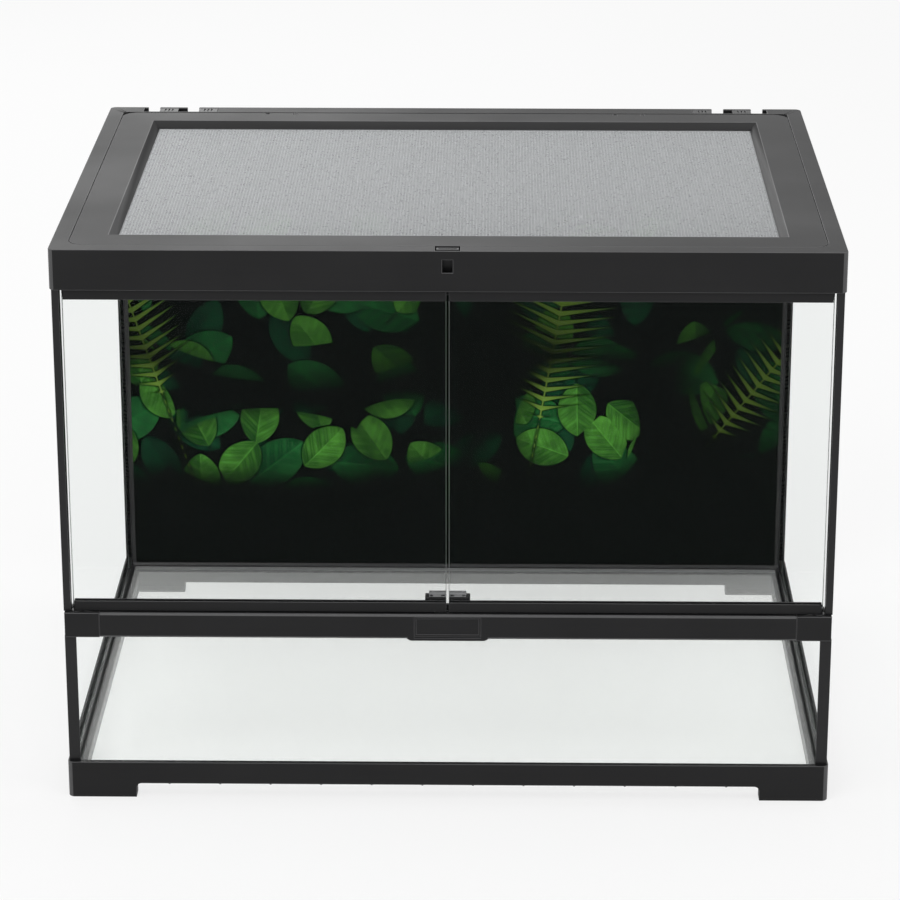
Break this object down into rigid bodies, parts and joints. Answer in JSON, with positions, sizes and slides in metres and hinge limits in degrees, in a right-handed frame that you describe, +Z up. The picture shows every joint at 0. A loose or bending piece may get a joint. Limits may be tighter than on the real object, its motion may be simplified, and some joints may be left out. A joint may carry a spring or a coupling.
{
  "type": "reptile terrarium",
  "caption": "Front-opening glass terrarium in a moulded base and top frame, with hinged glass doors, a locking ventilated sill, a hinged wire-mesh lid and closable cable inlets.",
  "frame": {"origin": "centre of the footprint, on the surface that the feet stand on", "axes": "+X to the right seen from the doors, -Y towards the doors, +Z up"},
  "size_m": [0.6, 0.45, 0.45],
  "materials": {
    "frame_plastic": "moulded charcoal plastic, fine satin grain",
    "trim_plastic": "extruded black plastic, satin",
    "fitting_plastic": "moulded black plastic, satin",
    "clear_glass": "clear float glass with ground edges",
    "sealant": "black silicone sealant, smoothed by hand",
    "bright_steel": "bright stainless steel",
    "wire_mesh": "woven stainless wire",
    "printed_card": "card printed near black with foliage, matt"
  },
  "bodies": {
    "tank": {"base_frame": "frame_plastic", "floor_glass": "clear_glass", "front_glass": "clear_glass", "left_glass": "clear_glass", "right_glass": "clear_glass", "rear_glass": "clear_glass", "floor_sealant": "sealant", "corner_sealant": "sealant", "edge_trim_left": "trim_plastic", "edge_trim_right": "trim_plastic", "front_corner_trim_left": "trim_plastic", "front_corner_trim_right": "trim_plastic", "rear_corner_trim_left": "trim_plastic", "rear_corner_trim_right": "trim_plastic", "sill_rail": "frame_plastic", "sill_end_left": "frame_plastic", "sill_end_right": "frame_plastic", "vent_grille": "frame_plastic", "hinge_bushes": "trim_plastic", "top_frame": "frame_plastic", "lid_hinge_pins": "bright_steel", "latch_pin": "bright_steel", "latch_spring": "bright_steel", "bracket_plate": "fitting_plastic", "bracket_screws": "bright_steel", "background_card": "printed_card"},
    "door_left": {"door_glass_left": "clear_glass", "door_bottom_strip_left": "frame_plastic", "bolt_keeper_left": "frame_plastic", "door_top_strip_left": "frame_plastic", "door_catch_left": "fitting_plastic", "door_pins_left": "bright_steel"},
    "door_right": {"door_glass_right": "clear_glass", "door_bottom_strip_right": "frame_plastic", "bolt_keeper_right": "frame_plastic", "door_top_strip_right": "frame_plastic", "door_catch_right": "fitting_plastic", "door_pins_right": "bright_steel"},
    "lock_flap": {"lock_flap": "frame_plastic"},
    "lock_wheel": {"lock_wheel": "fitting_plastic"},
    "lock_bolt": {"lock_bolt": "bright_steel"},
    "lid": {"lid_frame": "frame_plastic", "lid_mesh": "wire_mesh", "mesh_clamp_frame": "frame_plastic", "lid_screws": "bright_steel"},
    "lid_latch": {"latch_rocker": "fitting_plastic"},
    "gate_left_outer": {"inlet_gate_left_outer": "fitting_plastic"},
    "gate_left_inner": {"inlet_gate_left_inner": "fitting_plastic"},
    "gate_right_inner": {"inlet_gate_right_inner": "fitting_plastic"},
    "gate_right_outer": {"inlet_gate_right_outer": "fitting_plastic"},
    "arm_upper": {"arm_upper": "fitting_plastic", "upper_elbow_pin": "bright_steel"},
    "arm_middle": {"arm_middle": "fitting_plastic", "lower_elbow_pin": "bright_steel"},
    "arm_lower": {"arm_lower": "fitting_plastic"},
    "nozzle_clip": {"nozzle_clip": "fitting_plastic"}
  },
  "joints": [
    {"name": "door_left_hinge", "type": "hinge", "parent": "tank", "child": "door_left", "pos_m": [-0.2884, -0.218, 0.2875], "axis": [0, 0, -1], "range_deg": [0, 110]},
    {"name": "door_right_hinge", "type": "hinge", "parent": "tank", "child": "door_right", "pos_m": [0.2884, -0.218, 0.2875], "axis": [0, 0, 1], "range_deg": [0, 110]},
    {"name": "lock_flap_hinge", "type": "hinge", "parent": "tank", "child": "lock_flap", "pos_m": [0, -0.2237, 0.1389], "axis": [1, 0, 0], "range_deg": [0, 90]},
    {"name": "lock_wheel_turn", "type": "hinge", "parent": "tank", "child": "lock_wheel", "pos_m": [0, -0.2134, 0.1453], "axis": [0, 0, 1], "range_deg": [0, 90]},
    {"name": "lock_bolt_lift", "type": "slide", "parent": "tank", "child": "lock_bolt", "axis": [0, 0, 1], "range_m": [0, 0.0032]},
    {"name": "lid_hinge", "type": "hinge", "parent": "tank", "child": "lid", "pos_m": [0, 0.2033, 0.4475], "axis": [-1, 0, 0], "range_deg": [0, 100]},
    {"name": "lid_latch_press", "type": "hinge", "parent": "tank", "child": "lid_latch", "pos_m": [0, -0.214, 0.434], "axis": [1, 0, 0], "range_deg": [0, 12], "stiffness_Nm_per_rad": 0.03, "springref_deg": -8.59},
    {"name": "gate_left_outer_slide", "type": "slide", "parent": "tank", "child": "gate_left_outer", "axis": [-1, 0, 0], "range_m": [0, 0.0135]},
    {"name": "gate_left_inner_slide", "type": "slide", "parent": "tank", "child": "gate_left_inner", "axis": [-1, 0, 0], "range_m": [0, 0.0135]},
    {"name": "gate_right_outer_slide", "type": "slide", "parent": "tank", "child": "gate_right_outer", "axis": [1, 0, 0], "range_m": [0, 0.0135]},
    {"name": "gate_right_inner_slide", "type": "slide", "parent": "tank", "child": "gate_right_inner", "axis": [1, 0, 0], "range_m": [0, 0.0135]},
    {"name": "arm_swivel", "type": "hinge", "parent": "tank", "child": "arm_upper", "pos_m": [0.11, 0.203, 0.4376], "axis": [0, 0, 1], "range_deg": [0, 180]},
    {"name": "elbow_upper", "type": "hinge", "parent": "arm_upper", "child": "arm_middle", "pos_m": [0.11, 0.203, 0.3596], "axis": [0, 1, 0], "range_deg": [-90, 45]},
    {"name": "elbow_lower", "type": "hinge", "parent": "arm_middle", "child": "arm_lower", "pos_m": [0.08596, 0.203, 0.33556], "axis": [0, 1, 0], "range_deg": [0, 135]},
    {"name": "clip_turn", "type": "hinge", "parent": "arm_lower", "child": "nozzle_clip", "pos_m": [0.10717, 0.203, 0.31435], "axis": [0.7071, 0, -0.7071], "range_deg": [-90, 90]}
  ],
  "couplings": [
    {"joint": "lock_bolt_lift", "follows": "lock_wheel_turn", "m_per_rad": 0.002037}
  ]
}
